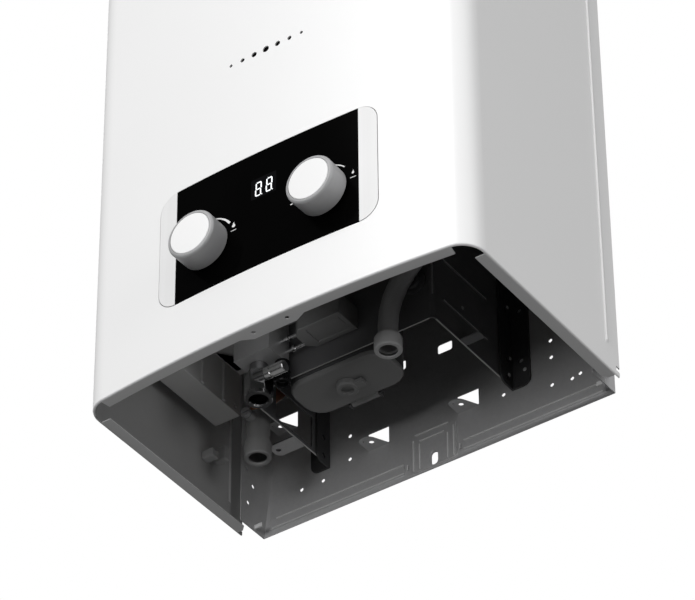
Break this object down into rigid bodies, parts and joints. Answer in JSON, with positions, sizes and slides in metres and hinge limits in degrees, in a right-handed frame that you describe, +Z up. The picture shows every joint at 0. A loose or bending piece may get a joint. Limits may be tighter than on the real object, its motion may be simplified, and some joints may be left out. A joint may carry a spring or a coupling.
{
  "type": "tankless water heater",
  "caption": "Wall-hung tankless gas water heater: bowed white casing, black control panel with round knobs and digit display, flue collar, valves, burner and pipe fittings in its open bottom.",
  "frame": {"origin": "on the wall face of the back plate, halfway between the two keyholes", "axes": "+X to the right of someone who faces the heater, +Y into the wall, +Z up; the front looks along -Y"},
  "size_m": [0.3324, 0.2314, 0.59],
  "materials": {
    "white_enamel": "smooth satin white enamel",
    "knob_disc": "smooth white disc",
    "galvanised_sheet": "dull galvanised sheet",
    "die_cast": "matt die casting",
    "dark_sheet": "dull dark sheet",
    "dark_fastener": "darkened steel",
    "black_bracket": "satin black paint",
    "battery_sleeve": "plain dark sleeve",
    "lead_sleeve": "smooth black sleeve",
    "panel_silver": "silver-white moulding",
    "panel_black": "glossy black",
    "dark_plastic": "moulded dark plastic",
    "circuit_board": "green board",
    "knob_skirt": "grey metallic skirt",
    "pipe_steel": "drawn tube",
    "plain_steel": "bright steel",
    "mica": "amber sheet",
    "brass": "turned brass",
    "copper": null,
    "ceramic": null,
    "chrome_cap": "chrome plated",
    "red_plastic": "red plastic",
    "grey_plastic": "moulded light grey plastic"
  },
  "bodies": {
    "casing": {"back_plate": "galvanised_sheet", "front_cover": "white_enamel", "flue_collar": "galvanised_sheet", "draft_hood": "galvanised_sheet", "panel_frame": "panel_silver", "panel_glass": "panel_black", "display_lens": "panel_black", "display_module": "dark_plastic", "control_board": "circuit_board", "left_bush": "dark_plastic", "right_bush": "dark_plastic", "flame_window": "mica", "window_clip": "galvanised_sheet", "chassis": "dark_sheet", "left_bracket": "black_bracket", "right_bracket": "black_bracket", "burner": "plain_steel", "gas_manifold": "brass", "gas_pipe": "copper", "combustion_chamber": "copper", "exchanger_shell": "copper", "exchanger_fins": "copper", "exchanger_tube": "copper", "ignition_electrode": "ceramic", "flame_sensor": "ceramic", "overheat_thermostat": "plain_steel", "gas_valve_body": "die_cast", "solenoid_coil": "dark_plastic", "gas_inlet_fitting": "brass", "water_valve_body": "brass", "diaphragm_cover": "brass", "microswitch": "dark_plastic", "cold_inlet_fitting": "brass", "cold_pipe": "copper", "cold_riser": "copper", "hot_outlet_pipe": "pipe_steel", "battery_box": "grey_plastic", "left_battery": "battery_sleeve", "right_battery": "battery_sleeve", "igniter_box": "dark_plastic", "control_box": "grey_plastic", "control_bracket": "galvanised_sheet", "ignition_lead": "lead_sleeve", "sensor_lead": "lead_sleeve", "display_harness": "lead_sleeve"},
    "left_knob": {"left_knob": "knob_skirt", "left_knob_cap": "knob_disc", "left_spindle": "plain_steel"},
    "right_knob": {"right_knob": "knob_skirt", "right_knob_cap": "knob_disc", "right_spindle": "plain_steel"},
    "push_rod": {"push_rod": "plain_steel"},
    "switch_button": {"switch_button": "red_plastic"},
    "solenoid_core": {"solenoid_core": "plain_steel"},
    "battery_lid": {"battery_lid": "grey_plastic"},
    "lid_latch": {"lid_latch": "grey_plastic"},
    "hot_outlet_nut": {"hot_outlet_nut": "grey_plastic"},
    "test_port_cap": {"test_port_cap": "chrome_cap"},
    "drain_screw": {"drain_screw": "brass"},
    "strainer_plug": {"strainer_plug": "dark_fastener"}
  },
  "joints": [
    {"name": "left_knob_turn", "type": "hinge", "parent": "casing", "child": "left_knob", "pos_m": [-0.0512, -0.21084, -0.4212], "axis": [0, -1, 0], "range_deg": [-90, 90]},
    {"name": "right_knob_turn", "type": "hinge", "parent": "casing", "child": "right_knob", "pos_m": [0.0512, -0.21084, -0.4212], "axis": [0, -1, 0], "range_deg": [-90, 90]},
    {"name": "push_rod_slide", "type": "slide", "parent": "casing", "child": "push_rod", "axis": [1, 0, 0], "range_m": [-0.004, 0], "stiffness_N_per_m": 100},
    {"name": "switch_button_slide", "type": "slide", "parent": "casing", "child": "switch_button", "axis": [1, 0, 0], "range_m": [-0.004, 0]},
    {"name": "solenoid_core_slide", "type": "slide", "parent": "casing", "child": "solenoid_core", "axis": [1, 0, 0], "range_m": [-0.003, 0], "stiffness_N_per_m": 50},
    {"name": "battery_lid_swing", "type": "hinge", "parent": "casing", "child": "battery_lid", "pos_m": [-0.022, -0.0553, -0.472], "axis": [1, 0, 0], "range_deg": [0, 90]},
    {"name": "lid_latch_turn", "type": "hinge", "parent": "battery_lid", "child": "lid_latch", "pos_m": [-0.022, -0.0793, -0.4743], "axis": [0, 0, 1], "range_deg": [0, 90]},
    {"name": "hot_nut_turn", "type": "hinge", "parent": "casing", "child": "hot_outlet_nut", "pos_m": [0.0393, -0.1171, -0.4953], "axis": [0, 0, 1], "continuous": true},
    {"name": "test_port_cap_turn", "type": "hinge", "parent": "casing", "child": "test_port_cap", "pos_m": [-0.0612, -0.1251, -0.4757], "axis": [1, 0, 0], "continuous": true},
    {"name": "drain_screw_turn", "type": "hinge", "parent": "casing", "child": "drain_screw", "pos_m": [-0.11, -0.0808, -0.4622], "axis": [0, -1, 0], "continuous": true},
    {"name": "strainer_plug_turn", "type": "hinge", "parent": "casing", "child": "strainer_plug", "pos_m": [-0.0556, -0.1124, -0.479], "axis": [0, 0, 1], "continuous": true}
  ],
  "couplings": [
    {"joint": "switch_button_slide", "follows": "push_rod_slide", "ratio": 1}
  ]
}
